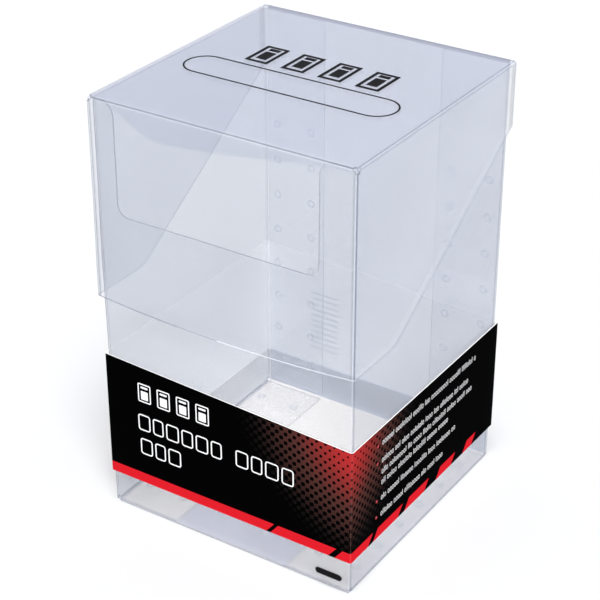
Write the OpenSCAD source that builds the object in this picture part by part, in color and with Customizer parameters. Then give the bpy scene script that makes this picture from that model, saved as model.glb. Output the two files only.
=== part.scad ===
// Clear folded-sheet storage box for graded card slabs.
// A lidded, free-standing box of thin clear plastic: one sheet wraps the front and sides,
// a second sheet makes the base, the back and the lid, and a paper band slides round it.
// Origin: centre of the base's underside. +Z up, front faces -Y, right side faces +X.

/* [Body] */
// Width of the box across the front
body_w = 90; // [70:1:140]
// Depth of the box from front to back
body_d = 90; // [60:1:160]
// Height of the four walls
body_h = 143; // [125:1:180]
// Thickness of the plastic sheet
sheet_t = 0.5; // [0.3:0.05:0.8]
// Outer radius of every fold
fold_r = 1; // [0.9:0.05:1.5]

/* [Thumb notch] */
// Width of the front post left of the notch
left_post_w = 7.6; // [7:0.2:16]
// Width of the front post right of the notch
right_post_w = 11.8; // [7:0.2:16]
// Depth of the notch below the top edge
notch_h = 36.2; // [15:0.2:50]
// Radius of the notch's lower corners
notch_r = 4; // [2:0.5:6]
// Radius of the flare at the notch's mouth
flare_r = 4.5; // [2:0.5:5]

/* [Welded flanges] */
// Width of each flange that a side wall turns in
flange_w = 23.5; // [14:0.5:30]
// Width of the flange under the front wall
front_flange_w = 15; // [8:0.5:25]
// Diameter of a weld dimple
weld_d = 3; // [2:0.25:4]
// Height of a weld dimple above the sheet
weld_rise = 0.25; // [0.1:0.05:0.4]
// Distance between weld dimples
weld_pitch = 13.1; // [10:0.1:20]
// Distance from the top edge to the first weld dimple on the back
weld_drop = 39.8; // [20:0.1:45]
// Distance from the side of the box to the outer weld dimples
weld_outer_inset = 5; // [4:0.2:8]
// Distance from the side of the box to the inner weld dimples
weld_inner_inset = 18.6; // [12:0.2:22]

/* [Lid] */
// Gap between the walls and the lid's flap and ears
lid_gap = 0.7; // [0.4:0.1:2]
// Gap between the walls' top edges and the lid panel
lid_lift = 0.4; // [0.3:0.1:1]
// Depth of the front flap at its corners
flap_h = 66; // [40:1:80]
// Extra depth of the front flap in its middle
flap_bow = 2; // [0.5:0.25:4]
// Length of the level part of an ear's lower edge
ear_level_l = 22; // [10:1:40]
// Depth of an ear at the hinge
ear_back_h = 21; // [10:0.5:35]
// Radius where an ear's lower edge turns upwards
ear_turn_r = 14; // [4:1:20]
// Radius of the opening left where three lid folds meet
relief_r = 0.8; // [0.5:0.1:1.2]

/* [Print on the lid] */
// Length of the write-on strip's outline
strip_l = 73.5; // [50:0.5:80]
// Width of the write-on strip's outline
strip_w = 13.8; // [8:0.2:20]
// Distance from the front of the box to the middle of the strip
strip_setback = 37; // [20:1:60]
// Width of a printed line
line_w = 0.55; // [0.4:0.05:1]
// Thickness of printed ink
ink_t = 0.1; // [0.05:0.05:0.2]
// Height of the slab symbols behind the strip
symbol_h = 13; // [8:0.5:16]
// Number of slab symbols
symbol_n = 4; // [1:1:6]
// Distance between slab symbols
symbol_pitch = 13; // [9:0.5:14]

/* [Paper band] */
// Thickness of the band's paper
band_t = 0.3; // [0.2:0.05:0.4]
// Gap between the walls and the band
band_gap = 0.3; // [0.3:0.05:0.6]
// Height of the band's lower edge above the table
band_low = 12.9; // [5:0.1:30]
// Height of the band's upper edge on the right
band_high = 52.8; // [35:0.1:60]
// Height of the band's upper edge on the left
band_high_left = 57; // [35:0.1:62]
// Width of the glued lap at the back
lap_w = 14; // [8:1:25]

/* [Size mark] */
// Length of the small printed mark low on the front
mark_l = 9.5; // [4:0.5:20]
// Height of the small printed mark
mark_h = 2.2; // [1:0.1:4]
// Distance from the mark to the right side of the box
mark_inset = 2.8; // [2:0.1:10]
// Distance from the mark's middle to the table
mark_z = 5.4; // [3:0.1:8]

/* [Hidden] */

half_w = body_w / 2;
half_d = body_d / 2;

// Walls start above the base sheet and the flange layer
layer_z = sheet_t;
wall_z = sheet_t + fold_r;
wall_h = body_h - wall_z;

// The back sheet is outside the flanges
flange_y = half_d - sheet_t;

// Ends of flanges stay clear of the neighbouring folds
end_gap = 0.6;

notch_w = body_w - left_post_w - right_post_w;
notch_left_x = -half_w + left_post_w;
notch_low_z = body_h - notch_h;

// Lid outer sizes
lid_half_w = half_w + lid_gap + sheet_t;
lid_front_y = -half_d - lid_gap - sheet_t;
lid_low_z = body_h + lid_lift;
lid_top_z = lid_low_z + sheet_t;
lid_side_top_z = lid_top_z - fold_r;
// The lid turns about its rear top edge, which stands just behind the back wall
hinge_gap = 0.3;
hinge_y = half_d + hinge_gap;
flap_side_h = flap_h - fold_r;
flap_bow_r = (pow(lid_half_w, 2) + pow(flap_bow, 2)) / (2 * flap_bow);

band_in_w = half_w + band_gap;
band_in_d = half_d + band_gap;
band_out_w = band_in_w + band_t;
band_out_d = band_in_d + band_t;
band_fold_r = fold_r + band_gap + band_t;
band_fold_x = band_out_w - band_fold_r;
band_fold_y = band_out_d - band_fold_r;

// The lap stays this far inside the band's fold and edges
lap_inset = 0.5;

weld_n_back = floor((body_h - weld_drop - 4) / weld_pitch) + 1;
weld_n_base = floor((body_d - 2 * 8) / weld_pitch) + 1;
weld_base_y = -(weld_n_base - 1) * weld_pitch / 2;

slab_aspect = 0.62;
symbol_line_w = 2 * line_w;
symbol_gap = 3;

clear_sheet = [0.80, 0.84, 0.91, 0.35];
weld_tint = [0.88, 0.91, 0.96, 0.6];
ink = [0.06, 0.06, 0.07];
band_black = [0.05, 0.05, 0.06];

$fn = 64;
long_arc_fn = 720;

// ---- helpers ----

// Quarter of a ring in the first quadrant, centred on the origin
module quarter_ring(r, t) {
  intersection() {
    difference() {
      circle(r = r);
      circle(r = r - t);
    }
    square(r + 1);
  }
}

// Upright fold, filling the quadrant that starts at the given angle
module upright_fold(x, y, z, h, turn, r = fold_r, t = sheet_t) {
  translate([x, y, z])
    rotate([0, 0, turn])
      linear_extrude(height = h)
        quarter_ring(r, t);
}

// Fold along X: from straight up (+Z) to facing -Y, or further round with turn
module fold_along_x(x0, x1, y, z, turn) {
  translate([x0, y, z])
    rotate([turn, 0, 0])
      rotate([90, 0, 90])
        linear_extrude(height = x1 - x0)
          quarter_ring(fold_r, sheet_t);
}

// Fold along Y, turned about that axis
module fold_along_y(y0, y1, x, z, turn) {
  translate([x, y1, z])
    rotate([0, turn, 0])
      rotate([90, 0, 0])
        linear_extrude(height = y1 - y0)
          quarter_ring(fold_r, sheet_t);
}

module notch_outline() {
  right_x = notch_left_x + notch_w;
  translate([notch_left_x + notch_r, notch_low_z])
    square([notch_w - 2 * notch_r, notch_h + 1]);
  translate([notch_left_x, notch_low_z + notch_r])
    square([notch_w, notch_h + 1 - notch_r]);
  for (x = [notch_left_x + notch_r, right_x - notch_r])
    translate([x, notch_low_z + notch_r])
      circle(r = notch_r);
  difference() {
    translate([notch_left_x - flare_r, body_h - flare_r])
      square([notch_w + 2 * flare_r, flare_r + 1]);
    for (x = [notch_left_x - flare_r, right_x + flare_r])
      translate([x, body_h - flare_r])
        circle(r = flare_r);
  }
}

// Column of weld dimples on the inside of a back flange
module back_welds(x) {
  for (i = [0 : weld_n_back - 1])
    translate([x, flange_y - sheet_t, body_h - weld_drop - i * weld_pitch])
      rotate([90, 0, 0])
        cylinder(d = weld_d, h = weld_rise);
}

// Two rows of weld dimples on top of a base flange
module base_welds(side) {
  for (inset = [weld_outer_inset, weld_inner_inset], i = [0 : weld_n_base - 1])
    translate([side * (half_w - inset), weld_base_y + i * weld_pitch, layer_z + sheet_t])
      cylinder(d = weld_d, h = weld_rise);
}

module side_panel(side) {
  translate([side > 0 ? half_w - sheet_t : -half_w, -half_d + fold_r, wall_z])
    cube([sheet_t, flange_y - fold_r + half_d - fold_r, wall_h]);
}

// Flange on the inside of the back wall with its fold, drawn for the right side
module back_flange(side) {
  mirror([side < 0 ? 1 : 0, 0, 0]) {
    translate([half_w - flange_w, flange_y - sheet_t, wall_z])
      cube([flange_w - fold_r, sheet_t, wall_h - end_gap]);
    upright_fold(half_w - fold_r, flange_y - fold_r, wall_z, wall_h, 0);
  }
}

// Flange on top of the base sheet with its fold, drawn for the right side
module base_flange(side) {
  front_y = -half_d + fold_r + end_gap;
  rear_y = flange_y - fold_r - end_gap;
  mirror([side < 0 ? 1 : 0, 0, 0]) {
    translate([half_w - flange_w, front_y, layer_z])
      cube([flange_w - fold_r, rear_y - front_y, sheet_t]);
    fold_along_y(front_y, rear_y, half_w - fold_r, layer_z + fold_r, 90);
  }
}

// Outline of an ear, with x running back from the flap's fold and y down from the top fold
function arc_points(cx, cy, r, a0, a1, n) =
  [for (i = [0 : n]) [cx + r * cos(a0 + (a1 - a0) * i / n), cy + r * sin(a0 + (a1 - a0) * i / n)]];

ear_l = hinge_y - lid_front_y - fold_r;
ear_front_h = flap_side_h;
ear_rear_h = ear_back_h - fold_r;
ear_slope = atan2(ear_front_h - ear_rear_h, ear_l - ear_level_l);
// The turn's arc starts this far before the corner that it rounds
ear_turn_back = ear_turn_r * tan(ear_slope / 2);

module ear_outline() {
  polygon(concat(
    [[0, 0], [0, ear_front_h]],
    arc_points(ear_level_l - ear_turn_back, ear_front_h - ear_turn_r, ear_turn_r, 90, 90 - ear_slope, 12),
    [[ear_l, ear_rear_h], [ear_l, 0]]
  ));
}

module lid_ear(side) {
  mirror([side < 0 ? 1 : 0, 0, 0]) {
    translate([lid_half_w - sheet_t, lid_front_y + fold_r, lid_side_top_z])
      rotate([90, 0, 90])
        linear_extrude(height = sheet_t)
          mirror([0, 1])
            ear_outline();
    fold_along_y(lid_front_y + fold_r + relief_r, hinge_y, lid_half_w - fold_r, lid_side_top_z, 0);
  }
}

module flap_outline() {
  intersection() {
    translate([-lid_half_w + fold_r, -flap_h - flap_bow])
      square([2 * (lid_half_w - fold_r), flap_h + flap_bow - fold_r]);
    translate([0, -flap_h - flap_bow + flap_bow_r])
      circle(r = flap_bow_r, $fn = long_arc_fn);
  }
}

module stadium(l, w) {
  square([l - w, w], center = true);
  for (x = [-(l - w) / 2, (l - w) / 2])
    translate([x, 0])
      circle(d = w);
}

// Band panel across the front or back, whose upper edge slopes down to the right
module sloping_band(y) {
  x = band_fold_x;
  translate([0, y, 0])
    rotate([90, 0, 0])
      linear_extrude(height = band_t)
        polygon([[-x, band_low], [x, band_low], [x, band_high], [-x, band_high_left]]);
}

// Upright fold of the band, centred on x and y, up to the given height
module band_fold(x, y, top, turn) {
  upright_fold(x, y, band_low, top - band_low, turn, band_fold_r, band_t);
}

// ---- box body ----

module front_panel() {
  color(clear_sheet) {
    translate([0, -half_d + sheet_t, 0])
      rotate([90, 0, 0])
        linear_extrude(height = sheet_t)
          difference() {
            translate([-half_w + fold_r, wall_z])
              square([body_w - 2 * fold_r, wall_h]);
            notch_outline();
          }
    upright_fold(-half_w + fold_r, -half_d + fold_r, wall_z, wall_h, 180);
    upright_fold(half_w - fold_r, -half_d + fold_r, wall_z, wall_h, 270);
  }
}

module left_panel() {
  color(clear_sheet)
    side_panel(-1);
}

module right_panel() {
  color(clear_sheet)
    side_panel(1);
}

module back_panel() {
  color(clear_sheet) {
    translate([-half_w + fold_r, flange_y, fold_r])
      cube([body_w - 2 * fold_r, sheet_t, body_h - fold_r]);
    fold_along_x(-half_w + fold_r, half_w - fold_r, half_d - fold_r, fold_r, 270);
  }
}

module base_panel() {
  color(clear_sheet)
    translate([-half_w + fold_r, -half_d + fold_r, 0])
      cube([body_w - 2 * fold_r, body_d - 2 * fold_r, sheet_t]);
}

module left_back_flange() {
  color(clear_sheet)
    back_flange(-1);
}

module right_back_flange() {
  color(clear_sheet)
    back_flange(1);
}

module left_base_flange() {
  color(clear_sheet)
    base_flange(-1);
}

module right_base_flange() {
  color(clear_sheet)
    base_flange(1);
}

module front_base_flange() {
  inner_half_w = half_w - flange_w - end_gap;
  color(clear_sheet) {
    translate([-inner_half_w, -half_d + fold_r, layer_z])
      cube([2 * inner_half_w, front_flange_w - fold_r, sheet_t]);
    fold_along_x(-inner_half_w, inner_half_w, -half_d + fold_r, layer_z + fold_r, 180);
  }
}

module left_back_welds_outer() {
  color(weld_tint)
    back_welds(-half_w + weld_outer_inset);
}

module left_back_welds_inner() {
  color(weld_tint)
    back_welds(-half_w + weld_inner_inset);
}

module right_back_welds_outer() {
  color(weld_tint)
    back_welds(half_w - weld_outer_inset);
}

module right_back_welds_inner() {
  color(weld_tint)
    back_welds(half_w - weld_inner_inset);
}

module left_base_welds() {
  color(weld_tint)
    base_welds(-1);
}

module right_base_welds() {
  color(weld_tint)
    base_welds(1);
}

module size_mark() {
  color(ink)
    translate([half_w - mark_inset - mark_l / 2, -half_d, mark_z])
      rotate([90, 0, 0])
        linear_extrude(height = ink_t)
          stadium(mark_l, mark_h);
}

// ---- lid ----

module lid_top_panel() {
  color(clear_sheet)
    translate([-lid_half_w + fold_r, lid_front_y + fold_r, lid_low_z])
      cube([2 * (lid_half_w - fold_r), hinge_y - lid_front_y - fold_r, sheet_t]);
}

module lid_front_flap() {
  color(clear_sheet) {
    translate([0, lid_front_y + sheet_t, lid_top_z])
      rotate([90, 0, 0])
        linear_extrude(height = sheet_t)
          flap_outline();
    fold_along_x(-lid_half_w + fold_r + relief_r, lid_half_w - fold_r - relief_r,
      lid_front_y + fold_r, lid_side_top_z, 90);
    for (side = [-1, 1])
      upright_fold(side * (lid_half_w - fold_r), lid_front_y + fold_r, lid_top_z - flap_h,
        flap_h - fold_r - relief_r, side < 0 ? 180 : 270);
  }
}

module lid_left_ear() {
  color(clear_sheet)
    lid_ear(-1);
}

module lid_right_ear() {
  color(clear_sheet)
    lid_ear(1);
}

module lid_strip_outline() {
  color(ink)
    translate([-1, -half_d + strip_setback, lid_top_z])
      linear_extrude(height = ink_t)
        difference() {
          stadium(strip_l, strip_w);
          stadium(strip_l - 2 * line_w, strip_w - 2 * line_w);
        }
}

// One slab pictogram: a frame with a label bar above a window
module slab_symbol() {
  symbol_w = symbol_h * slab_aspect;
  window_h = symbol_h * 0.62;
  difference() {
    square([symbol_w, symbol_h], center = true);
    square([symbol_w - 2 * symbol_line_w, symbol_h - 2 * symbol_line_w], center = true);
  }
  translate([0, symbol_h / 2 - (symbol_h - window_h) / 2])
    square([symbol_w - 4 * symbol_line_w, (symbol_h - window_h) / 3], center = true);
  translate([0, -symbol_h / 2 + 2 * symbol_line_w + window_h / 2 - symbol_line_w / 2])
    square([symbol_w - 4 * symbol_line_w, window_h - 2 * symbol_line_w], center = true);
}

module lid_card_symbol() {
  symbol_y = -half_d + strip_setback + strip_w / 2 + symbol_h / 2 + symbol_gap;
  color(ink)
    for (i = [0 : symbol_n - 1])
      translate([(i - (symbol_n - 1) / 2) * symbol_pitch, symbol_y, lid_top_z])
        linear_extrude(height = ink_t)
          slab_symbol();
}

// ---- paper band ----

module band_front() {
  color(band_black) {
    sloping_band(-band_in_d);
    band_fold(-band_fold_x, -band_fold_y, band_high_left, 180);
    band_fold(band_fold_x, -band_fold_y, band_high, 270);
  }
}

module band_right() {
  color(band_black)
    translate([band_in_w, -band_fold_y, band_low])
      cube([band_t, 2 * band_fold_y, band_high - band_low]);
}

module band_back() {
  color(band_black) {
    sloping_band(band_out_d);
    band_fold(-band_fold_x, band_fold_y, band_high_left, 90);
    band_fold(band_fold_x, band_fold_y, band_high, 0);
  }
}

module band_left() {
  color(band_black)
    translate([-band_out_w, -band_fold_y, band_low])
      cube([band_t, 2 * band_fold_y, band_high_left - band_low]);
}

module band_lap() {
  color(band_black)
    translate([-band_fold_x + lap_inset, band_out_d, band_low + lap_inset])
      cube([lap_w, band_t, band_high - band_low - 2 * lap_inset]);
}

front_panel();
left_panel();
right_panel();
back_panel();
base_panel();
left_back_flange();
right_back_flange();
left_base_flange();
right_base_flange();
front_base_flange();
left_back_welds_outer();
left_back_welds_inner();
right_back_welds_outer();
right_back_welds_inner();
left_base_welds();
right_base_welds();
size_mark();
lid_top_panel();
lid_front_flap();
lid_left_ear();
lid_right_ear();
lid_strip_outline();
lid_card_symbol();
band_front();
band_right();
band_back();
band_left();
band_lap();
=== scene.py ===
"""Looks of a clear folded-sheet box for graded card slabs, with its lid and its printed paper band.

Lengths are in millimetres until a mesh is finished, and places come from the CAD frame.
"""
import math
import random

import bmesh
import bpy
from mathutils import Matrix, Vector, noise
from mathutils.geometry import delaunay_2d_cdt


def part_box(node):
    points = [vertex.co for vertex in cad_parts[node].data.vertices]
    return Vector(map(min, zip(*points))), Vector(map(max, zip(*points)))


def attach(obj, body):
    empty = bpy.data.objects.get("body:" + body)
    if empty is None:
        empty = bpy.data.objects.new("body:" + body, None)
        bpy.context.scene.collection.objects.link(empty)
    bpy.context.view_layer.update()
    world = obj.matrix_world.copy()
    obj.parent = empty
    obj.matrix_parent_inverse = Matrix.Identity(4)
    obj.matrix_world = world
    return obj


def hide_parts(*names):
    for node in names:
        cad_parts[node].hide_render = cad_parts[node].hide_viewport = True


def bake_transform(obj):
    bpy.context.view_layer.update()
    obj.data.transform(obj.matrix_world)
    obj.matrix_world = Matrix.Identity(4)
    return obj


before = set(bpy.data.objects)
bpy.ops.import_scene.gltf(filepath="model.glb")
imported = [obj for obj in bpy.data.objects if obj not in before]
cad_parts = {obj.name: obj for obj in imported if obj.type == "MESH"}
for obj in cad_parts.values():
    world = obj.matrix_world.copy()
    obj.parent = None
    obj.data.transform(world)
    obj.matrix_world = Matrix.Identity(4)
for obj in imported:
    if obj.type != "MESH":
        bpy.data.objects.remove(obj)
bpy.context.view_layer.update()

MM = 0.001
STEP = 5.0


def node_box(name):
    """Lowest and highest corner of a CAD node, in millimetres."""
    return [Vector(round(value / MM, 3) for value in corner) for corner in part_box(name)]


# ---- sizes read from the frame ----

front_low, front_high = node_box("front_panel")
base_flange_low, base_flange_high = node_box("right_base_flange")
flap_low, flap_high = node_box("lid_front_flap")
ear_low, ear_high = node_box("lid_right_ear")
band_low = node_box("band_front")[0]
band_side_low, band_side_high = node_box("band_right")
lap_low, lap_high = node_box("band_lap")

sheet_t = node_box("base_panel")[1].z
half_w = front_high.x
half_d = -front_low.y
body_h = front_high.z
wall_z = front_low.z
fold_r = wall_z - sheet_t
flat_x = half_w - fold_r
flange_y = half_d - sheet_t
flange_x = node_box("right_back_flange")[0].x
front_flange_x = node_box("front_base_flange")[1].x
front_flange_y = node_box("front_base_flange")[1].y

lid_half_w = flap_high.x
lid_flat_x = lid_half_w - fold_r
lid_front_y = flap_low.y
lid_fold_y = lid_front_y + fold_r
lid_top_z = node_box("lid_top_panel")[1].z
lid_side_z = lid_top_z - fold_r
hinge_y = ear_high.y
skirt_z = ear_low.z
flap_bow = skirt_z - flap_low.z

band_z = band_low.z
band_left_z = node_box("band_left")[1].z
band_right_z = band_side_high.z
band_x = band_side_high.x
band_y = -band_low.y
band_t = band_x - band_side_low.x

# ---- sizes that the frame's boxes don't give ----

notch_left_x = -half_w + 7.6
notch_right_x = half_w - 11.8
notch_low_z = body_h - 36.2
notch_r = 4.0
flare_r = 4.5
relief = 0.8
ear_level_l = 22.0
ear_back_h = 21.0
ear_turn_r = 14.0
air = 0.03
wall_sway = 0.3
wall_sway_size = 38
lid_sway = 0.3
lid_sway_size = 34
flap_crown = 0.25
crescent_deep = 9.0
band_fold_r = 0.8
stripe_h = 3.6
stripe_lean = 0.8

# Black gaps in the red stripe: middle, measured round the band from its front right fold, and width
STRIPE_GAPS = ((-29.8, 1.5), (-6.9, 2.2), (11.5, 3.0), (30.0, 4.0), (48.3, 7.5), (66.0, 8.0), (83.5, 15.0))


# ---- node trees ----

class Tree:
    """A material's node tree, with short ways to add nodes and sums."""

    def __init__(self, name):
        self.material = bpy.data.materials.new(name)
        self.material.use_nodes = True
        self.tree = self.material.node_tree
        self.tree.nodes.clear()
        self.point = self.add("ShaderNodeTexCoord").outputs["Object"]

    def add(self, kind, settings=None, **inputs):
        """A new node. An input's name has _ for a space, and its value is a socket or a constant."""
        node = self.tree.nodes.new(kind)
        for key, value in (settings or {}).items():
            setattr(node, key, value)
        for key, value in inputs.items():
            self.feed(node.inputs[key.replace("_", " ")], value)
        return node

    def feed(self, socket, value):
        """Links a socket to an input, or sets the input to a constant."""
        if isinstance(value, bpy.types.NodeSocket):
            self.tree.links.new(value, socket)
        else:
            socket.default_value = value

    def sum(self, operation, *values, clamp=False):
        """One math node's result."""
        node = self.tree.nodes.new("ShaderNodeMath")
        node.operation = operation
        node.use_clamp = clamp
        for socket, value in zip(node.inputs, values):
            self.feed(socket, value)
        return node.outputs[0]

    def axes(self):
        """The object point's x, y and z, in millimetres."""
        split = self.add("ShaderNodeSeparateXYZ", Vector=self.point)
        return [self.sum("MULTIPLY", axis, 1 / MM) for axis in split.outputs]

    def noise(self, size, detail=2.0, stretch=(1, 1, 1)):
        """Noise from 0 to 1 whose features are about size millimetres, longer along the stretched axes."""
        scaled = self.add("ShaderNodeMapping", Vector=self.point, Scale=[1 / axis for axis in stretch])
        node = self.add("ShaderNodeTexNoise", Vector=scaled.outputs[0], Scale=1 / (size * MM), Detail=detail)
        return node.outputs["Fac"]

    def band(self, value, low, high):
        """0 below low, 1 above high, and smooth between."""
        node = self.add("ShaderNodeMapRange", {"interpolation_type": "SMOOTHSTEP"}, Value=value)
        self.feed(node.inputs["From Min"], low)
        self.feed(node.inputs["From Max"], high)
        return node.outputs[0]

    def blend(self, share, first, second):
        """A colour between first and second."""
        node = self.tree.nodes.new("ShaderNodeMix")
        node.data_type = "RGBA"
        # The colour sockets have the same names as those for numbers, so they are taken by place
        self.feed(node.inputs["Factor"], share)
        self.feed(node.inputs[6], first)
        self.feed(node.inputs[7], second)
        return node.outputs[2]

    def mix(self, share, first, second):
        """A shader between the shader nodes first and second."""
        node = self.add("ShaderNodeMixShader", Fac=share)
        self.tree.links.new(first.outputs[0], node.inputs[1])
        self.tree.links.new(second.outputs[0], node.inputs[2])
        return node

    def bump(self, height, depth):
        """A normal from a height field that is depth millimetres deep."""
        node = self.add("ShaderNodeBump", Height=height, Strength=1.0, Distance=depth * MM)
        return node.outputs[0]

    def finish(self, shader):
        """The material, with the shader on its surface."""
        output = self.add("ShaderNodeOutputMaterial")
        self.tree.links.new(shader, output.inputs["Surface"])
        return self.material


def rgb(red, green, blue):
    """A colour with full alpha."""
    return (red, green, blue, 1.0)


def shade(colour, share):
    """A colour multiplied by a share, with full alpha."""
    return rgb(*[c * share for c in colour])


def sheet_marks(t):
    """Share of a clear sheet's surface that thin curved scuffs and rare specks of dust veil."""
    scuff_half_width = 0.0016
    scuff_veil = 0.16
    dust_cell = 5 * MM
    dust_size = 0.034
    dust_rarity = 0.78
    dust_veil = 0.55
    from_scuff = t.sum("ABSOLUTE", t.sum("SUBTRACT", t.noise(14, 1.5, (1, 1, 1.7)), 0.5))
    on_scuff = t.sum("LESS_THAN", from_scuff, scuff_half_width)
    scuff = t.sum("MULTIPLY", on_scuff, t.band(t.noise(17), 0.56, 0.7))
    cells = t.add("ShaderNodeTexVoronoi", Vector=t.point, Scale=1 / dust_cell)
    draw = t.add("ShaderNodeSeparateColor", Color=cells.outputs["Color"]).outputs[0]
    rare = t.sum("GREATER_THAN", draw, dust_rarity)
    dust = t.sum("MULTIPLY", t.sum("LESS_THAN", cells.outputs["Distance"], dust_size), rare)
    return t.sum("MAXIMUM", t.sum("MULTIPLY", scuff, scuff_veil), t.sum("MULTIPLY", dust, dust_veil))


def painted_reflection_crescent(t):
    """1 in the crescent just under the lid's front fold, which is deepest left of the middle, else 0.

    A darker reflection is painted in that crescent.
    """
    x, _, z = t.axes()
    from_left = t.sum("MULTIPLY", t.sum("ADD", x, lid_half_w), 1 / (2 * lid_half_w))
    rising = t.band(from_left, 0.02, 0.28)
    falling = t.sum("SUBTRACT", 1.0, t.sum("MULTIPLY", t.band(from_left, 0.25, 1.05), 0.85))
    depth = t.sum("MULTIPLY", t.sum("MULTIPLY", rising, falling), crescent_deep)
    below_top = t.sum("SUBTRACT", lid_top_z, z)
    return t.sum("SUBTRACT", 1.0, t.band(t.sum("SUBTRACT", below_top, depth), -0.8, 0.8))


def past_walls(t, past):
    """1 where a part of the lid reaches past the walls, sideways ("x") or behind ("y"), else 0."""
    x, y, _ = t.axes()
    if past == "x":
        return t.band(t.sum("ABSOLUTE", x), half_w - 0.6, half_w + 0.1)
    back_y = half_d - 2.0
    return t.band(y, back_y - 0.6, back_y)


def clear_plastic(name, tint, haze, haze_colour, rough=0.06, wave=0.05, painted_fold_reflection=False, past=""):
    """Thin clear sheet: tinted, a little hazy, scuffed and dusty, and glossy by the angle it is seen at.

    The flap's sheet can have a painted darker reflection just under the lid's front fold, where it curves
    most. A sheet that reaches past the walls, sideways ("x") or behind ("y"), is darker out there, where it
    shows its edge.
    """
    head_on_mirror = 0.04
    light_passed = 0.985
    t = Tree(name)
    mottle = t.noise(22, 3)
    marks = sheet_marks(t)
    soft = t.sum("MULTIPLY_ADD", mottle, haze * 0.5, haze * 0.75)
    veil = t.sum("ADD", soft, marks, clamp=True)
    draw_lines = t.noise(3.2, 2, (1, 1, 16))
    height = t.sum("ADD", t.sum("MULTIPLY", t.noise(30, 1), 1.0), t.sum("MULTIPLY", draw_lines, 0.06))
    normal = t.bump(height, wave)
    tone = t.blend(t.noise(45, 2), shade(tint, 0.985), rgb(*[min(1, c * 1.01) for c in tint]))
    # Painted darker reflection in the crescent just under the lid's front fold
    if painted_fold_reflection:
        painted_reflection_tone = rgb(*[c * k for c, k in zip(tint, (0.93, 0.935, 0.96))])
        tone = t.blend(painted_reflection_crescent(t), tone, painted_reflection_tone)
    if past:
        tone = t.blend(past_walls(t, past), tone, shade(tint, 0.81))
    through = t.add("ShaderNodeBsdfTransparent", Color=tone)
    cloud = t.add("ShaderNodeBsdfDiffuse", Color=rgb(*haze_colour))
    body = t.mix(veil, through, cloud)
    shine = t.add("ShaderNodeBsdfGlossy", Color=rgb(1, 1, 1), Normal=normal)
    t.feed(shine.inputs["Roughness"], t.sum("MULTIPLY_ADD", mottle, rough, rough * 0.5))
    facing = t.add("ShaderNodeLayerWeight", Blend=0.5, Normal=normal).outputs["Facing"]
    mirror = t.sum("MULTIPLY_ADD", t.sum("POWER", facing, 5.0), 1 - head_on_mirror, head_on_mirror)
    shader = t.mix(mirror, body, shine)
    let_light_by = t.add("ShaderNodeBsdfTransparent", Color=rgb(light_passed, light_passed, light_passed))
    path = t.add("ShaderNodeLightPath")
    for kind in ("Is Diffuse Ray", "Is Shadow Ray"):
        shader = t.mix(path.outputs[kind], shader, let_light_by)
    return t.finish(shader.outputs[0])


def coated(name, colour, rough, specular, variation=0.08, grain=0.15, depth=0.01):
    """Opaque printed or painted surface with a fine grain."""
    t = Tree(name)
    cloud = t.noise(9, 3)
    base = t.blend(t.sum("MULTIPLY", cloud, variation), rgb(*colour), shade(colour, 0.6))
    fibres = t.noise(grain, 3, (1, 1, 2))
    shader = t.add("ShaderNodeBsdfPrincipled", Base_Color=base, Normal=t.bump(fibres, depth))
    shader.inputs["Specular IOR Level"].default_value = specular
    t.feed(shader.inputs["Roughness"], t.sum("MULTIPLY_ADD", cloud, 0.12, rough - 0.06))
    return t.finish(shader.outputs[0])


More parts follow.
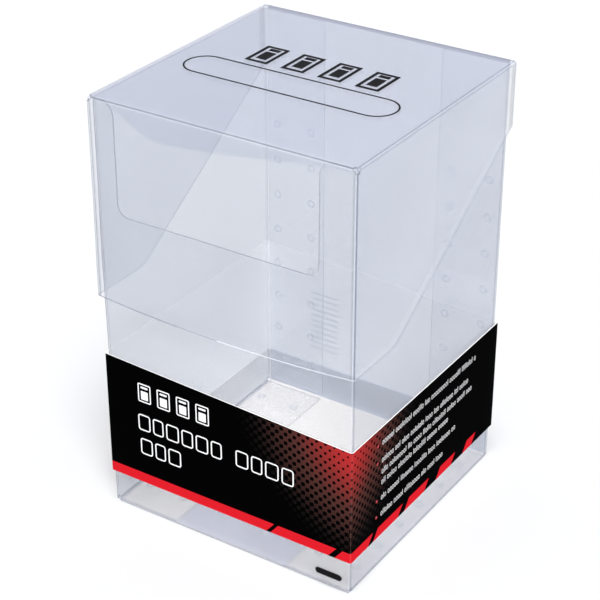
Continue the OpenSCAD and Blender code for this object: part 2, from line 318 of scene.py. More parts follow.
def band_print():
    """The band's printed side: black, a red halftone at the front right fold and a red stripe with gaps."""
    front_reach = 43.0
    side_reach = front_reach - 2.0
    down_reach = 43.0
    roundness = 1.5
    pitch = 3.1
    dot_edge = 0.05
    worn_r = band_fold_r * 0.62
    worn_share = 0.24
    red = rgb(0.43, 0.024, 0.026)
    brown = rgb(0.064, 0.024, 0.020)
    grey = rgb(0.024, 0.019, 0.018)
    black = rgb(0.0008, 0.0008, 0.001)
    stripe_red = rgb(0.60, 0.012, 0.020)
    worn = rgb(0.30, 0.15, 0.14)

    # How near the surface is to the upper end of the front right fold: 1 there, 0 at the reach
    t = Tree("band_print")
    x, y, z = t.axes()
    from_fold = t.sum("SUBTRACT", band_x, x)
    past_fold = t.sum("ADD", y, band_y)
    away = t.sum("ADD", from_fold, past_fold)
    along = t.sum("SUBTRACT", past_fold, from_fold)
    side = t.sum("GREATER_THAN", along, 0.0)
    reach = t.sum("MULTIPLY_ADD", side, side_reach - front_reach, front_reach)
    drop = t.sum("MAXIMUM", t.sum("MULTIPLY", t.sum("SUBTRACT", band_right_z, z), 1 / down_reach), 0.0)
    out = t.sum("POWER", t.sum("DIVIDE", away, reach), roundness)
    out_and_down = t.sum("ADD", out, t.sum("POWER", drop, roundness))
    glow = t.sum("SUBTRACT", 1.0, t.sum("POWER", out_and_down, 1 / roundness), clamp=True)

    # Black dots in a diagonal grid, smaller as the glow grows
    turns = 2 * math.pi / pitch
    rising = t.sum("COSINE", t.sum("MULTIPLY", t.sum("ADD", along, z), turns))
    falling = t.sum("COSINE", t.sum("MULTIPLY", t.sum("SUBTRACT", along, z), turns))
    dot = t.sum("MULTIPLY_ADD", t.sum("ADD", rising, falling), 0.25, 0.5)
    limit = t.sum("MULTIPLY_ADD", glow, 0.56, 0.36)
    light = t.band(t.sum("SUBTRACT", limit, dot), -dot_edge, dot_edge)
    field = t.blend(t.band(glow, 0.1, 0.48), grey, brown)
    field = t.blend(t.band(glow, 0.47, 1.05), field, red)
    strength = t.sum("MULTIPLY", light, t.band(glow, 0.0, 0.62))
    colour = t.blend(strength, black, field)

    # The stripe along the lower edge, with its leaning gaps
    rise = t.sum("SUBTRACT", z, band_z)
    stripe = t.sum("LESS_THAN", rise, stripe_h)
    leaning = t.sum("MULTIPLY_ADD", rise, -stripe_lean, along)
    for middle, width in STRIPE_GAPS:
        from_gap = t.sum("ABSOLUTE", t.sum("SUBTRACT", leaning, middle))
        stripe = t.sum("MULTIPLY", stripe, t.sum("GREATER_THAN", from_gap, width / 2))
    colour = t.blend(stripe, colour, stripe_red)

    # Ink worn off the front right fold
    on_fold = t.sum("LESS_THAN", away, worn_r)
    wear = t.sum("MULTIPLY", on_fold, t.sum("MULTIPLY", t.noise(2.2, 3), worn_share))
    colour = t.blend(wear, colour, worn)

    shader = t.add("ShaderNodeBsdfPrincipled", Base_Color=colour, Normal=t.bump(t.noise(0.4, 3), 0.006))
    shader.inputs["Specular IOR Level"].default_value = 0.001
    t.feed(shader.inputs["Roughness"], t.sum("MULTIPLY_ADD", t.noise(6, 2), 0.14, 0.4))
    return t.finish(shader.outputs[0])


def stage_floor():
    """Pale matt paper that the box stands on."""
    t = Tree("stage_floor")
    darker = 0.655
    paler = 0.675
    colour = t.blend(t.noise(90, 2), rgb(darker, darker, darker), rgb(paler, paler, paler))
    shader = t.add("ShaderNodeBsdfPrincipled", Base_Color=colour, Roughness=0.85)
    shader.inputs["Specular IOR Level"].default_value = 0.1
    return t.finish(shader.outputs[0])


PALE_HAZE = (0.66, 0.70, 0.84)

clear_sheet = clear_plastic("clear_sheet", (0.866, 0.876, 0.897), 0.035, PALE_HAZE)
front_sheet = clear_plastic("front_sheet", (0.942, 0.946, 0.951), 0.03, PALE_HAZE)
back_sheet_wall = clear_plastic("back_sheet_wall", (0.858, 0.868, 0.893), 0.035, PALE_HAZE)
# The flap's sheet has a painted darker reflection just under the lid's front fold
flap_sheet = clear_plastic("flap_sheet", (0.942, 0.946, 0.951), 0.03, PALE_HAZE, painted_fold_reflection=True, past="x")
back_fold = clear_plastic("back_fold", (0.795, 0.806, 0.832), 0.05, (0.50, 0.53, 0.64), rough=0.9)
# The back wall's foot has a darker, bluer tint: painted shade
back_foot_shade = clear_plastic("back_foot_shade", (0.805, 0.828, 0.880), 0.06, (0.50, 0.55, 0.70))
front_foot = clear_plastic("front_foot", (0.898, 0.914, 0.976), 0.06, (0.45, 0.48, 0.60))
lit_edge = clear_plastic("lit_edge", (0.965, 0.972, 0.985), 0.5, (0.95, 0.96, 1.0), rough=0.15)
base_sheet = clear_plastic("base_sheet", (0.942, 0.931, 0.914), 0.22, (0.92, 0.87, 0.86))
top_sheet = clear_plastic("top_sheet", (0.900, 0.904, 0.926), 0.13, (0.56, 0.59, 0.73))
ear_sheet = clear_plastic("ear_sheet", (0.956, 0.960, 0.968), 0.03, PALE_HAZE, past="y")
welded_flange = clear_plastic("welded_flange", (0.978, 0.981, 0.987), 0.012, (0.70, 0.73, 0.84))
fold_side = clear_plastic("fold_side", (0.70, 0.71, 0.75), 0.18, (0.22, 0.23, 0.29), rough=0.1)
fold_ridge = clear_plastic("fold_ridge", (0.93, 0.94, 0.96), 0.14, (0.80, 0.82, 0.88), rough=0.1)
sheet_edge = clear_plastic("sheet_edge", (0.60, 0.61, 0.66), 0.42, (0.26, 0.27, 0.33), rough=0.15)
soft_edge = clear_plastic("soft_edge", (0.84, 0.85, 0.88), 0.2, (0.34, 0.36, 0.43), rough=0.15)
dimple = clear_plastic("weld_dimple", (0.975, 0.978, 0.985), 0.03, (0.78, 0.80, 0.88), rough=0.1)
dimple_rim = clear_plastic("dimple_rim", (0.86, 0.87, 0.89), 0.24, (0.55, 0.57, 0.68), rough=0.12)
show_through = coated("show_through", (0.72, 0.73, 0.77), 0.75, 0.2)
ink = coated("black_ink", (0.003, 0.003, 0.004), 0.45, 0.06)
white_ink = coated("white_ink", (0.88, 0.88, 0.88), 0.5, 0.3)
red_ink = coated("red_ink", (0.45, 0.02, 0.03), 0.5, 0.2)
printed = band_print()
paper = coated("band_paper", (0.93, 0.93, 0.93), 0.75, 0.2, variation=0.04, grain=0.2, depth=0.02)
paper_edge = coated("paper_edge", (0.84, 0.83, 0.82), 0.85, 0.2, variation=0.15, grain=0.12, depth=0.02)

# Finishes of every sheet, and each one's place in the list, where 0 is the plain clear sheet.
SHEET = (
    clear_sheet, fold_side, fold_ridge, sheet_edge, soft_edge, flap_sheet, base_sheet, top_sheet, ear_sheet,
    welded_flange, front_sheet, back_sheet_wall, back_fold, back_foot_shade, front_foot, lit_edge,
)
FOLD_SIDE, FOLD_RIDGE, CUT_EDGE, SOFT_EDGE = range(1, 5)
FLAP, BASE, TOP, EAR, FLANGE, FRONT, BACK, BACK_FOLD, BACK_FOOT_SHADE, FRONT_FOOT, LIT_EDGE = range(5, 16)

# Finishes of the band, where 0 is the printed side
BAND = (printed, paper, paper_edge)
PAPER, PAPER_EDGE = 1, 2

# Finishes of the folds' three strips. -1 is the box's left side and 1 its right.
LID_FOLD = (FOLD_RIDGE, FOLD_SIDE, FOLD_RIDGE)
LID_CORNERS = {-1: (SOFT_EDGE, FOLD_SIDE, SOFT_EDGE), 1: LID_FOLD}
LID_SIDE_FOLD = (SOFT_EDGE, FOLD_RIDGE, SOFT_EDGE)
FRONT_FOLDS = {-1: (FOLD_SIDE, FOLD_RIDGE, FOLD_SIDE), 1: (FRONT, FOLD_RIDGE, FOLD_SIDE)}
BACK_FOLDS = {-1: (BACK_FOLD, BACK_FOLD, BACK_FOLD), 1: (CUT_EDGE, CUT_EDGE, BACK_FOLD)}


# ---- meshes ----

def even(start, stop, step=STEP):
    """Evenly spaced positions from start to stop, at most step apart."""
    count = max(1, math.ceil(abs(stop - start) / step - 1e-6))
    return [start + (stop - start) * i / count for i in range(count + 1)]


def through(*marks):
    """Positions from the first mark to the last through every mark, at most STEP apart."""
    line = [marks[0]]
    for a, b in zip(marks, marks[1:]):
        line += even(a, b)[1:]
    return line


def cosine(degrees):
    """Cosine of an angle in degrees."""
    return math.cos(math.radians(degrees))


def sine(degrees):
    """Sine of an angle in degrees."""
    return math.sin(math.radians(degrees))


def arc(centre, radius, start, stop, count=8):
    """Points on an arc, in degrees from start to stop."""
    turns = [start + (stop - start) * i / count for i in range(count + 1)]
    return [(centre[0] + radius * cosine(a), centre[1] + radius * sine(a)) for a in turns]


def quads(bm, us, vs, place, finish=0):
    """A grid of faces, one corner at each pair of u and v."""
    rows = [[bm.verts.new(place(u, v)) for u in us] for v in vs]
    for lower, upper in zip(rows, rows[1:]):
        for i in range(len(us) - 1):
            face = bm.faces.new((lower[i], lower[i + 1], upper[i + 1], upper[i]))
            face.material_index = finish


def inside(point, outline):
    """True if the point lies in the closed outline."""
    found = False
    for (ax, ay), (bx, by) in zip(outline, outline[1:] + outline[:1]):
        if (ay > point[1]) != (by > point[1]):
            found ^= point[0] < (bx - ax) * (point[1] - ay) / (by - ay) + ax
    return found


def patch(bm, outline, place, finish=0):
    """A flat panel of any outline, filled with triangles about STEP across."""
    us, vs = zip(*outline)
    grid = [(u, v) for u in even(min(us), max(us))[1:-1] for v in even(min(vs), max(vs))[1:-1]]
    near = 0.3 * STEP
    kept = [
        p for p in grid
        if inside(p, outline) and all(math.dist(p, q) > near for q in outline)
    ]
    ring = [(i, (i + 1) % len(outline)) for i in range(len(outline))]
    points = [Vector(p) for p in outline + kept]
    verts, _, faces, *_ = delaunay_2d_cdt(points, ring, [], 1, 1e-5)
    made = [bm.verts.new(place(*p)) for p in verts]
    for corners in faces:
        bm.faces.new([made[i] for i in corners]).material_index = finish


def fold(bm, start, stop, vs, place, finishes=(FOLD_SIDE, FOLD_RIDGE, FOLD_SIDE)):
    """A quarter fold, with place(angle in degrees, v), in three strips whose finishes can differ."""
    for low, high, finish in zip((0, 30, 60), (30, 60, 90), finishes):
        quads(bm, even(start + low, start + high, 15), vs, place, finish)


def thicken(bm, thickness, rim, inner=0):
    """Gives an open outer surface its thickness, inwards, with other finishes inside and on the rim.

    The rim's finish comes from rim(point) at the middle of each edge.
    """
    bm.normal_update()
    below = {v: bm.verts.new(v.co - v.normal * thickness * v.calc_shell_factor()) for v in bm.verts[:]}
    loops = [edge.link_loops[0] for edge in bm.edges if edge.is_boundary]
    corners = [(loop.vert, loop.link_loop_next.vert) for loop in loops]
    middles = [(a.co + b.co) / 2 for a, b in corners]
    for face in bm.faces[:]:
        back = bm.faces.new([below[v] for v in reversed(face.verts)])
        back.material_index = face.material_index + inner
    for (a, b), middle in zip(corners, middles):
        bm.faces.new((b, a, below[a], below[b])).material_index = rim(middle)


def face_outwards(bm, direction):
    """Joins the corners that meet and makes the faces agree, the furthest along direction facing that way."""
    bmesh.ops.remove_doubles(bm, verts=bm.verts, dist=0.004)
    bmesh.ops.recalc_face_normals(bm, faces=bm.faces)
    bm.normal_update()
    direction = Vector(direction)

    def reach(face):
        return face.calc_center_median().dot(direction) + face.normal.dot(direction) ** 2

    outer = max(bm.faces, key=reach)
    if outer.normal.dot(direction) < 0:
        bmesh.ops.reverse_faces(bm, faces=bm.faces)


def finish_piece(name, bm, finishes, body, stands_for=()):
    """Turns millimetre geometry into a piece that rides on a body."""
    mesh = bpy.data.meshes.new(name)
    bm.to_mesh(mesh)
    bm.free()
    mesh.transform(Matrix.Scale(MM, 4))
    mesh.shade_smooth()
    mesh.set_sharp_from_angle(angle=math.radians(35))
    for material in finishes:
        mesh.materials.append(material)
    piece = bpy.data.objects.new(name, mesh)
    bpy.context.scene.collection.objects.link(piece)
    if body:
        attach(piece, body)
    if stands_for:
        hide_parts(*stands_for)
    return piece


def ease(value):
    """Smooth step from 0 to 1."""
    value = min(1.0, max(0.0, value))
    return value * value * (3 - 2 * value)


def sway(point, size, depth):
    """Gentle unevenness of a sheet, in millimetres."""
    return depth * noise.noise(Vector(point) / size)


# ---- the wrap sheet: front, sides, and the flanges at the back and under the base ----

wall_rows = through(wall_z, body_h)
side_columns = through(-half_d + fold_r, base_flange_low.y, base_flange_high.y, flange_y - fold_r)
flange_columns = through(base_flange_low.y, base_flange_high.y)
front_columns = through(-flat_x, -front_flange_x, front_flange_x, flat_x)


def front_outline():
    """The front wall between its folds, with the flared thumb notch."""
    left, right, low = notch_left_x, notch_right_x, notch_low_z
    line = [(x, wall_z) for x in front_columns]
    line += [(flat_x, z) for z in wall_rows[1:]]
    line += arc((right + flare_r, body_h - flare_r), flare_r, 90, 180)
    line += [(right, z) for z in through(body_h - flare_r, low + notch_r)[1:-1]]
    line += arc((right - notch_r, low + notch_r), notch_r, 0, -90)
    line += [(x, low) for x in through(right - notch_r, left + notch_r)[1:-1]]
    line += arc((left + notch_r, low + notch_r), notch_r, -90, -180)
    line += [(left, z) for z in through(low + notch_r, body_h - flare_r)[1:-1]]
    line += arc((left - flare_r, body_h - flare_r), flare_r, 0, 90)
    line += [(-flat_x, z) for z in wall_rows[:0:-1]]
    return line


def wrap_rim(point):
    """Finish of a cut edge of the wrap sheet: soft where the flanges lie against the back sheet."""
    on_wall = abs(point.x) > flat_x + 0.1 or point.y < -half_d + 0.1
    return CUT_EDGE if on_wall else SOFT_EDGE


def wrap_sheet():
    """Front and side walls with their folds, the back flanges and the base flanges, as one sheet."""
    bm = bmesh.new()
    patch(bm, front_outline(), lambda x, z: (x, -half_d, z), FRONT)
    under_z = sheet_t + air
    back_y = flange_y - air
    for side in (-1, 1):
        def upright(cy, side=side):
            return lambda a, z: (side * (flat_x + fold_r * cosine(a)), cy + fold_r * sine(a), z)

        fold(bm, -90, 0, wall_rows, upright(-half_d + fold_r), FRONT_FOLDS[side])
        quads(bm, side_columns, wall_rows, lambda y, z: (side * half_w, y, z))
        fold(bm, 0, 90, wall_rows, upright(flange_y - fold_r), BACK_FOLDS[side])
        # The back folds end on the flanges, just clear of the back sheet
        for vert in bm.verts:
            if vert.co.y > flange_y - 1e-4:
                vert.co.y = back_y
        quads(bm, even(flat_x, flange_x), wall_rows, lambda x, z: (side * x, back_y, z), FLANGE)
        fold(bm, 0, 90, flange_columns, lambda a, y: (
            side * (flat_x + fold_r * cosine(a)), y, wall_z - (wall_z - under_z) * sine(a),
        ), (0, FOLD_SIDE, CUT_EDGE))
        flange_xs = even(flat_x, base_flange_low.x)
        quads(bm, flange_xs, flange_columns, lambda x, y: (side * x, y, under_z), FLANGE)
    base_columns = through(-front_flange_x, front_flange_x)
    fold(bm, 0, 90, base_columns, lambda a, x: (
        x, -half_d + fold_r - fold_r * cosine(a), wall_z - (wall_z - under_z) * sine(a),
    ), (FRONT, FOLD_SIDE, CUT_EDGE))
    front_flange_ys = even(-half_d + fold_r, front_flange_y)
    quads(bm, base_columns, front_flange_ys, lambda x, y: (x, y, under_z), FRONT_FOOT)
    face_outwards(bm, (0, -1, 0))
    # The walls sway where nothing holds them: not near the base and not near the welded back
    for vert in bm.verts:
        free = ease((vert.co.z - 12) / 40) * ease((flange_y - 6 - vert.co.y) / 20)
        vert.co += vert.normal * sway(vert.co, wall_sway_size, wall_sway) * free
    thicken(bm, sheet_t, wrap_rim)
    return finish_piece(
        "wrap_sheet", bm, SHEET, "box",
        ("front_panel", "left_panel", "right_panel", "left_back_flange", "right_back_flange",
         "left_base_flange", "right_base_flange", "front_base_flange"),
    )


# ---- the back sheet: base and back wall in one ----

def back_sheet():
    """Base and back wall. The wall's foot, up to just above the band's lower edge, is darker: painted shade.
    """
    bm = bmesh.new()
    foot_z = band_z + 1
    columns = through(-flat_x, flat_x)
    quads(bm, columns, through(-half_d + fold_r, half_d - fold_r), lambda x, y: (x, y, 0), BASE)
    fold(bm, 0, 90, columns, lambda a, x: (
        x, half_d - fold_r + fold_r * sine(a), fold_r - fold_r * cosine(a),
    ), (BASE, BASE, BACK_FOOT_SHADE))
    # The wall's foot gets the darker finish: painted shade
    quads(bm, columns, even(fold_r, foot_z), lambda x, z: (x, half_d, z), BACK_FOOT_SHADE)
    quads(bm, columns, through(foot_z, body_h), lambda x, z: (x, half_d, z), BACK)
    face_outwards(bm, (0, 0, -1))
    thicken(bm, sheet_t, lambda p: CUT_EDGE if p.z < sheet_t else SOFT_EDGE)
    return finish_piece("back_sheet", bm, SHEET, "box", ("base_panel", "back_panel"))


# ---- the lid sheet: top, front flap and two ears ----

lid_columns = through(-lid_flat_x, -lid_flat_x + relief, lid_flat_x - relief, lid_flat_x)
lid_depths = through(lid_fold_y, lid_fold_y + relief, hinge_y)
skirt_rows = through(lid_side_z, lid_side_z - relief, skirt_z)


def flap_outline():
    """The front flap between its folds, whose lower edge bows down in the middle."""
    line = [(x, lid_side_z) for x in lid_columns]
    line += [(lid_flat_x, z) for z in skirt_rows[1:]]
    for x in even(lid_flat_x, -lid_flat_x, 3)[1:]:
        line.append((x, skirt_z - flap_bow * (1 - (x / lid_flat_x) ** 2)))
    line += [(-lid_flat_x, z) for z in skirt_rows[-2:0:-1]]
    return line


def ear_outline():
    """An ear behind its front fold: level below, then rising to the hinge in a rounded turn."""
    rear_z = lid_top_z - ear_back_h
    slope = math.atan2(rear_z - skirt_z, hinge_y - lid_fold_y - ear_level_l)
    turn_y = lid_fold_y + ear_level_l - ear_turn_r * math.tan(slope / 2)
    turn = arc((turn_y, skirt_z + ear_turn_r), ear_turn_r, -90, -90 + math.degrees(slope))
    line = [(y, lid_side_z) for y in lid_depths]
    line += [(hinge_y, z) for z in through(lid_side_z, rear_z)[1:]]
    run = [Vector((hinge_y, rear_z)), Vector(turn[-1])]
    line += [tuple(run[0].lerp(run[1], share)) for share in even(0, 1, 0.06)[1:]]
    line += turn[-2::-1]
    line += [(y, skirt_z) for y in through(turn_y, lid_fold_y)[1:]]
    line += [(lid_fold_y, z) for z in skirt_rows[-2:0:-1]]
    return line


def lid_rim(point):
    """Finish of a cut edge of the lid: it turns from dark to lit along the flap's lower edge."""
    dark_to_x = -16
    lit_from_x = -2
    if point.y > lid_fold_y:
        return SOFT_EDGE
    if point.z > skirt_z or point.x < dark_to_x:
        return CUT_EDGE
    return SOFT_EDGE if point.x < lit_from_x else LIT_EDGE


def lid_sheet():
    """Lid top, front flap and two ears, folded from one sheet, with a slightly bulging flap."""
    bm = bmesh.new()
    quads(bm, lid_columns, lid_depths, lambda x, y: (x, y, lid_top_z), TOP)
    fold(bm, 0, 90, lid_columns[1:-1], lambda a, x: (
        x, lid_fold_y - fold_r * sine(a), lid_side_z + fold_r * cosine(a),
    ), LID_FOLD)
    patch(bm, flap_outline(), lambda x, z: (x, lid_front_y, z), FLAP)
    for side in (-1, 1):
        fold(bm, 0, 90, lid_depths[1:], lambda a, y: (
            side * (lid_flat_x + fold_r * sine(a)), y, lid_side_z + fold_r * cosine(a),
        ), LID_SIDE_FOLD)
        fold(bm, 0, 90, skirt_rows[1:], lambda a, z: (
            side * (lid_flat_x + fold_r * sine(a)), lid_fold_y - fold_r * cosine(a), z,
        ), LID_CORNERS[side])
        patch(bm, ear_outline(), lambda y, z: (side * lid_half_w, y, z), EAR)
    face_outwards(bm, (0, 0, 1))
    for vert in bm.verts:
        free = ease((lid_side_z - vert.co.z) / 30)
        on_flap = vert.co.y < lid_fold_y
        crown = flap_crown * (1 - (vert.co.x / lid_half_w) ** 2) if on_flap else 0.0
        vert.co += vert.normal * free * (crown + sway(vert.co, lid_sway_size, lid_sway))
    thicken(bm, sheet_t, lid_rim)
    for face in bm.faces:
        middle = face.calc_center_median()
        if middle.y > hinge_y - 0.01 and middle.z > lid_side_z:
            face.material_index = FOLD_SIDE
    return finish_piece(
        "lid_sheet", bm, SHEET, "lid",
        ("lid_top_panel", "lid_front_flap", "lid_left_ear", "lid_right_ear"),
    )


def hinge_web():
    """The thin live hinge from the top of the back wall to the lid's rear edge."""
    bm = bmesh.new()
    # Each side of its section runs from the wall towards a middle point and bends there to the lid
    outer = [(half_d, body_h), (half_d + 0.35, body_h + 0.4), (hinge_y, lid_top_z)]
    inner = [(flange_y, body_h), (flange_y + 0.2, body_h + 0.3), (hinge_y - 0.3, lid_top_z - sheet_t)]

    def bend(line, share):
        a, b, c = (Vector(p) for p in line)
        return a.lerp(b, share).lerp(b.lerp(c, share), share)

    shares = even(0, 1, 0.1)
    section = [bend(outer, s) for s in shares] + [bend(inner, s) for s in reversed(shares)]
    columns = through(-flat_x, flat_x)
    quads(bm, columns, range(len(section) + 1), lambda x, i: (x, *section[i % len(section)]), 0)
    for x in (-flat_x, flat_x):
        ends = [bm.verts.new((x, *p)) for p in section]
        for i in range(len(shares) - 1):
            bm.faces.new((ends[i], ends[i + 1], ends[-2 - i], ends[-1 - i]))
    bmesh.ops.remove_doubles(bm, verts=bm.verts, dist=0.001)
    bmesh.ops.recalc_face_normals(bm, faces=bm.faces)
    web = finish_piece("hinge_web", bm, (fold_side,), None)
    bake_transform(web)
    return web


# ---- weld dimples ----

# Radius and height along a dimple's section, from its middle out: a shallow crater with a rounded rim
DIMPLE_SECTION = ((0.0, 0.08), (0.5, 0.10), (0.85, 0.17), (1.05, 0.24), (1.2, 0.25), (1.35, 0.18), (1.5, 0.0))
DIMPLE_SIDES = 24


def weld_discs(node):
    """Lowest and highest corner of each plain disc in a CAD node, in order."""
    bm = bmesh.new()
    bm.from_mesh(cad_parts[node].data)
    bm.transform(Matrix.Scale(1 / MM, 4))
    bmesh.ops.remove_doubles(bm, verts=bm.verts, dist=0.001)
    discs = []
    todo = set(bm.verts)
    while todo:
        cluster = []
        queue = [todo.pop()]
        while queue:
            vert = queue.pop()
            cluster.append(vert.co.copy())
            for edge in vert.link_edges:
                other = edge.other_vert(vert)
                if other in todo:
                    todo.remove(other)
                    queue.append(other)
        low = Vector(min(axis) for axis in zip(*cluster))
        high = Vector(max(axis) for axis in zip(*cluster))
        discs.append((low, high))
    bm.free()
    return sorted(discs, key=lambda disc: tuple(disc[0]))


def dimple_shape(bm, origin, up):
    """One dimple that stands on origin, with a darker rim."""
    across = Vector((1, 0, 0))
    third = up.cross(across)
    turns = [2 * math.pi * k / DIMPLE_SIDES for k in range(DIMPLE_SIDES)]
    rings = []
    for radius, height in DIMPLE_SECTION[1:]:
        base = origin + up * height
        ring = [base + radius * (across * math.cos(a) + third * math.sin(a)) for a in turns]
        rings.append([bm.verts.new(point) for point in ring])
    top = bm.verts.new(origin + up * DIMPLE_SECTION[0][1])
    for k in range(DIMPLE_SIDES):
        n = (k + 1) % DIMPLE_SIDES
        bm.faces.new((top, rings[0][k], rings[0][n]))
        for lower, upper in zip(rings[1:-1], rings[2:]):
            bm.faces.new((lower[k], upper[k], upper[n], lower[n])).material_index = 1
        bm.faces.new((rings[0][k], rings[1][k], rings[1][n], rings[0][n]))
    bm.faces.new(list(reversed(rings[-1])))


def dimples(node):
    """A row or column of dimples in place of a CAD node's plain discs, on the base or the back flanges."""
    bm = bmesh.new()
    for low, high in weld_discs(node):
        middle = (low + high) / 2
        if "base" in node:
            dimple_shape(bm, Vector((middle.x, middle.y, low.z + air)), Vector((0, 0, 1)))
        else:
            dimple_shape(bm, Vector((middle.x, high.y - air, middle.z)), Vector((0, -1, 0)))
    bmesh.ops.recalc_face_normals(bm, faces=bm.faces)
    name = node.replace("welds", "dimples")
    return finish_piece(name, bm, (dimple, dimple_rim), "box", (node,))


# ---- the paper band ----

band_flat_x = band_x - band_fold_r
band_flat_y = band_y - band_fold_r


def band_top(x):
    """Height of the band's upper edge, which slopes down to the right."""
    share = min(1.0, max(0.0, (x + band_flat_x) / (2 * band_flat_x)))
    return band_left_z + (band_right_z - band_left_z) * share


def paper_band():
    """The paper strip round the four walls, printed outside and plain inside."""
    bm = bmesh.new()
    path = []
    for turn, side_x, side_y in ((-90, 1, -1), (0, 1, 1), (90, -1, 1), (180, -1, -1)):
        path += arc((side_x * band_flat_x, side_y * band_flat_y), band_fold_r, turn, turn + 90, 6)
        out_x, out_y = arc((0, 0), 1, turn + 90, turn + 90)[0]
        corner = Vector(path[-1])
        run = Vector((-out_y, out_x)) * 2 * (band_flat_x if abs(out_y) > 0.5 else band_flat_y)
        path += [tuple(corner + run * share) for share in even(0, 1, 0.06)[1:-1]]
    path.append(path[0])
    quads(bm, range(len(path)), even(0, 1, 0.125), lambda i, share: (
        *path[i], band_z + share * (band_top(path[i][0]) - band_z),
    ))
    face_outwards(bm, (0, -1, 0))
    thicken(bm, band_t, lambda p: PAPER_EDGE, inner=PAPER)
    return finish_piece(
        "paper_band", bm, BAND, "band",
        ("band_front", "band_right", "band_back", "band_left"),
    )


def band_lap():
    """The strip's printed end, glued over its start at the back."""
    bm = bmesh.new()
    pressed_in = 0.12  # the glued edge lies closer to the band
    pressed_w = 3
    quads(bm, even(lap_low.x, lap_high.x, 2), even(lap_low.z, lap_high.z), lambda x, z: (
        x, lap_high.y - pressed_in * ease((x - lap_high.x + pressed_w) / pressed_w), z,
    ))
    face_outwards(bm, (0, 1, 0))
    thicken(bm, band_t - 2 * air, lambda p: PAPER_EDGE, inner=PAPER)
    return finish_piece("band_lap_end", bm, BAND, "band", ("band_lap",))


# ---- flat print on the band, as thin plates of ink ----

INK_LOW = 0.01
INK_HIGH = 0.05

# Title lines: height of the foot, then where each word starts and how many signs it has
TITLE_LINES = ((33.0, ((12.3, 6), (49.6, 4))), (24.0, ((12.8, 3),)))
SIGN_WIDTHS = (4.7, 4.1, 4.9, 4.4)

# Lines of small print: start, stop and height of the foot
SIDE_NOTES = (
    (17.2, 76.0, 46.3), (17.2, 71.5, 39.9), (17.2, 75.0, 35.8),
    (17.2, 58.5, 31.9), (17.2, 64.0, 26.2), (17.2, 56.0, 20.2),
)
BACK_NOTES = ((12.0, 50.0, 46.3), (12.0, 44.0, 42.0), (12.0, 52.0, 37.7), (12.0, 38.0, 33.4))
BULLET_LINES = (46.3, 39.9, 26.2, 20.2)


def plate(bm, outer, hole, place):
    """A thin closed plate of ink, with a hole whose outline has as many points as its own."""
    levels = [[bm.verts.new(place(a, b, c)) for a, b in outer] for c in (INK_LOW, INK_HIGH)]
    count = len(outer)
    if hole:
        holes = [[bm.verts.new(place(a, b, c)) for a, b in hole] for c in (INK_LOW, INK_HIGH)]
    for k in range(count):
        n = (k + 1) % count
        bm.faces.new((levels[0][k], levels[0][n], levels[1][n], levels[1][k]))
        if hole:
            bm.faces.new((holes[0][n], holes[0][k], holes[1][k], holes[1][n]))
            for low, high in zip(levels, holes):
                bm.faces.new((low[k], low[n], high[n], high[k]))
    if not hole:
        bm.faces.new(levels[1])
        bm.faces.new(list(reversed(levels[0])))


def soft_box(cx, cz, width, height, radius, count=4):
    """Outline of a rounded rectangle."""
    w, h = width / 2 - radius, height / 2 - radius
    line = []
    for turn, sx, sz in ((0, 1, 1), (90, -1, 1), (180, -1, -1), (270, 1, -1)):
        line += arc((cx + sx * w, cz + sz * h), radius, turn, turn + 90, count)
    return line


def glyph(bm, place, cx, cz, width, height, line, radius=0.8, count=4):
    """A placeholder for one printed sign: the outline of a rounded box."""
    plate(bm, soft_box(cx, cz, width, height, radius, count),
          soft_box(cx, cz, width - 2 * line, height - 2 * line, max(0.05, radius - line), count), place)


def front_place(a, b, c):
    """a from the band's left end and b above the table, on its front."""
    return (a - band_x, -band_y - c, b)


def right_place(a, b, c):
    """a back from the band's front and b above the table, on its right side."""
    return (band_x + c, a - band_y, b)


def back_place(a, b, c):
    """a from the band's right end as seen from behind, on its back."""
    return (band_x - a, band_y + c, b)


def ink_piece(name, bm, material):
    """Plates of one ink as a piece that rides on the band."""
    bmesh.ops.recalc_face_normals(bm, faces=bm.faces)
    return finish_piece(name, bm, (material,), "band")


def slab_signs():
    """Four small slab pictograms, generic, where the band has its top line."""
    bm = bmesh.new()
    first_x = 15.2
    spacing = 7.4
    cz = 47.1
    sign_w = 5.0
    sign_h = 6.8
    window_w = 2.7
    label_up = 2.0
    card_down = 0.85
    for i in range(4):
        cx = first_x + spacing * i
        glyph(bm, front_place, cx, cz, sign_w, sign_h, 0.42, 0.6)
        plate(bm, soft_box(cx, cz + label_up, window_w, 0.7, 0.2), None, front_place)
        plate(bm, soft_box(cx, cz - card_down, window_w, 3.1, 0.2), None, front_place)
    return ink_piece("front_slab_signs", bm, white_ink)


def title_signs():
    """Two title lines of placeholder boxes."""
    bm = bmesh.new()
    sign_h = 6.0
    stroke = 0.44
    gap = 1.05
    for low, words in TITLE_LINES:
        for start, count in words:
            left = start
            for k in range(count):
                width = SIGN_WIDTHS[k % len(SIGN_WIDTHS)]
                glyph(bm, front_place, left + width / 2, low + sign_h / 2, width, sign_h, stroke, 1.0)
                left += width + gap
    return ink_piece("front_title_signs", bm, white_ink)


def note_signs(name, place, lines, rng):
    """Small lines of text as placeholder signs in word groups: small boxes, and some tall bars."""
    bm = bmesh.new()
    bar_share = 0.3
    bar_w = 0.18
    bar_h = 2.1
    bar_step = 0.68
    box_w = 0.9
    box_h = 1.5
    box_step = 1.28
    stroke = 0.15
    word_gap = 0.8
    for start, stop, low in lines:
        at = start
        left_in_word = rng.randint(3, 8)
        while at < stop:
            if rng.random() < bar_share:
                bar = soft_box(at + 0.14, low + bar_h / 2, bar_w, bar_h, 0.08, 1)
                plate(bm, bar, None, place)
                at += bar_step
            else:
                glyph(bm, place, at + box_w / 2, low + box_h / 2, box_w, box_h, stroke, 0.32, 2)
                at += box_step
            left_in_word -= 1
            if left_in_word == 0:
                at += word_gap
                left_in_word = rng.randint(3, 9)
    return ink_piece(name, bm, white_ink)


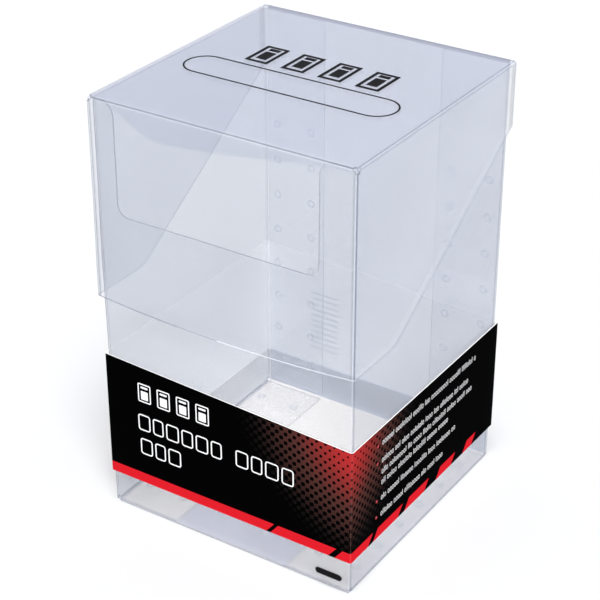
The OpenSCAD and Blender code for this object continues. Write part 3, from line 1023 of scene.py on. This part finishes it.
def side_bullets():
    """A dull red dot before some of the side's lines of small print."""
    bm = bmesh.new()
    bullet_x = 14.6
    bullet_up = 0.9
    bullet_r = 0.5
    for low in BULLET_LINES:
        plate(bm, arc((bullet_x, low + bullet_up), bullet_r, 0, 345, 23), None, right_place)
    return ink_piece("side_bullets", bm, red_ink)


def stock_code():
    """White patch with irregular bars on the back, instead of a product code."""
    centre = 67.2
    patch_w = 15.0
    patch_h = 28.0
    bar_w = 11.0
    low_z = 19.5
    high_z = 42.5
    rng = random.Random(7)
    patch_bm = bmesh.new()
    plate(patch_bm, soft_box(centre, (low_z + high_z) / 2, patch_w, patch_h, 0.6), None, back_place)
    bars = bmesh.new()
    at = low_z
    while at < high_z:
        thick = rng.choice((0.3, 0.3, 0.6, 0.9))
        plate(bars, soft_box(centre, at + thick / 2, bar_w, thick, 0.1), None,
              lambda a, b, c: back_place(a, b, c + INK_HIGH))
        at += thick + rng.choice((0.35, 0.5, 0.9))
    inside_bars = bmesh.new()
    for bar_z in even(low_z + 0.5, high_z - 0.5, 2.2):
        plate(inside_bars, soft_box(centre, bar_z, bar_w, 0.8, 0.1), None,
              lambda a, b, c: back_place(a, b, -band_t - c))
    return [
        ink_piece("back_code_patch", patch_bm, white_ink),
        ink_piece("back_code_bars", bars, ink),
        ink_piece("back_code_inside", inside_bars, show_through),
    ]


# ---- all the pieces ----

wrap_sheet()
back_sheet()
lid_sheet()
hinge_web()
for side in ("left", "right"):
    dimples(f"{side}_back_welds_outer")
    dimples(f"{side}_back_welds_inner")
    dimples(f"{side}_base_welds")
paper_band()
band_lap()
slab_signs()
title_signs()
note_rng = random.Random(11)
note_signs("side_note_signs", right_place, SIDE_NOTES, note_rng)
note_signs("back_note_signs", back_place, BACK_NOTES, note_rng)
side_bullets()
stock_code()
for node in ("size_mark", "lid_strip_outline", "lid_card_symbol"):
    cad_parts[node].data.materials.clear()
    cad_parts[node].data.materials.append(ink)


# ---- stage, light and camera ----

def stage():
    """A wide floor, just under the box."""
    bm = bmesh.new()
    floor_z = -0.2
    tiles = even(-6000, 6000, 1000)
    quads(bm, tiles, tiles, lambda x, y: (x, y, floor_z))
    mesh = bpy.data.meshes.new("stage_floor")
    bm.to_mesh(mesh)
    bm.free()
    mesh.transform(Matrix.Scale(MM, 4))
    mesh.materials.append(stage_floor())
    floor = bpy.data.objects.new("stage_floor", mesh)
    bpy.context.scene.collection.objects.link(floor)


def seen_from(azimuth, elevation):
    """Unit vector from the box to an azimuth, measured from the front to the right, and an elevation."""
    return Vector((
        sine(azimuth) * cosine(elevation), -cosine(azimuth) * cosine(elevation), sine(elevation),
    ))


def sun(name, azimuth, elevation, power, spread):
    """Even studio light from far away."""
    lamp = bpy.data.lights.new(name, "SUN")
    lamp.energy = power
    lamp.angle = math.radians(spread)
    towards = seen_from(azimuth, elevation)
    obj = bpy.data.objects.new(name, lamp)
    obj.location = towards
    obj.rotation_euler = towards.to_track_quat("Z", "Y").to_euler()
    bpy.context.scene.collection.objects.link(obj)


def world_light():
    """A bright horizon that carries the white floor on, under a greyer and slightly blue sky."""
    world = bpy.data.worlds.new("studio")
    world.use_nodes = True
    tree = world.node_tree
    tree.nodes.clear()
    coord = tree.nodes.new("ShaderNodeTexCoord")
    split = tree.nodes.new("ShaderNodeSeparateXYZ")
    ramp = tree.nodes.new("ShaderNodeValToRGB")
    light = tree.nodes.new("ShaderNodeBackground")
    output = tree.nodes.new("ShaderNodeOutputWorld")
    tree.links.new(coord.outputs["Generated"], split.inputs[0])
    tree.links.new(split.outputs["Z"], ramp.inputs[0])
    horizon, sky = ramp.color_ramp.elements
    horizon.position = 0.03
    horizon.color = rgb(1.0, 1.0, 1.0)
    sky.position = 0.42
    sky.color = rgb(0.50, 0.52, 0.56)
    tree.links.new(ramp.outputs[0], light.inputs["Color"])
    light.inputs["Strength"].default_value = 1.0
    tree.links.new(light.outputs[0], output.inputs["Surface"])
    bpy.context.scene.world = world


def camera():
    """Long lens, level, turned to the angle from which the box is shown."""
    azimuth = 33.1
    elevation = 29.4
    distance = 0.5515
    middle_z = 0.072
    aside = 0.0019
    lower = 0.0031
    back = seen_from(azimuth, elevation)
    right = Vector((cosine(azimuth), sine(azimuth), 0))
    up = back.cross(right)
    data = bpy.data.cameras.new("camera")
    data.lens = 105
    data.clip_start = 0.05
    data.clip_end = 20
    obj = bpy.data.objects.new("camera", data)
    obj.location = Vector((0, 0, middle_z)) + back * distance - right * aside - up * lower
    obj.rotation_euler = (-back).to_track_quat("-Z", "Y").to_euler()
    bpy.context.scene.collection.objects.link(obj)
    bpy.context.scene.camera = obj


stage()
world_light()
sun("key", azimuth=46, elevation=38, power=2.1, spread=26)
sun("top", azimuth=30, elevation=76, power=2.0, spread=24)
camera()

scene = bpy.context.scene
scene.view_settings.view_transform = "Standard"
scene.cycles.transparent_max_bounces = 64
scene.cycles.max_bounces = 16
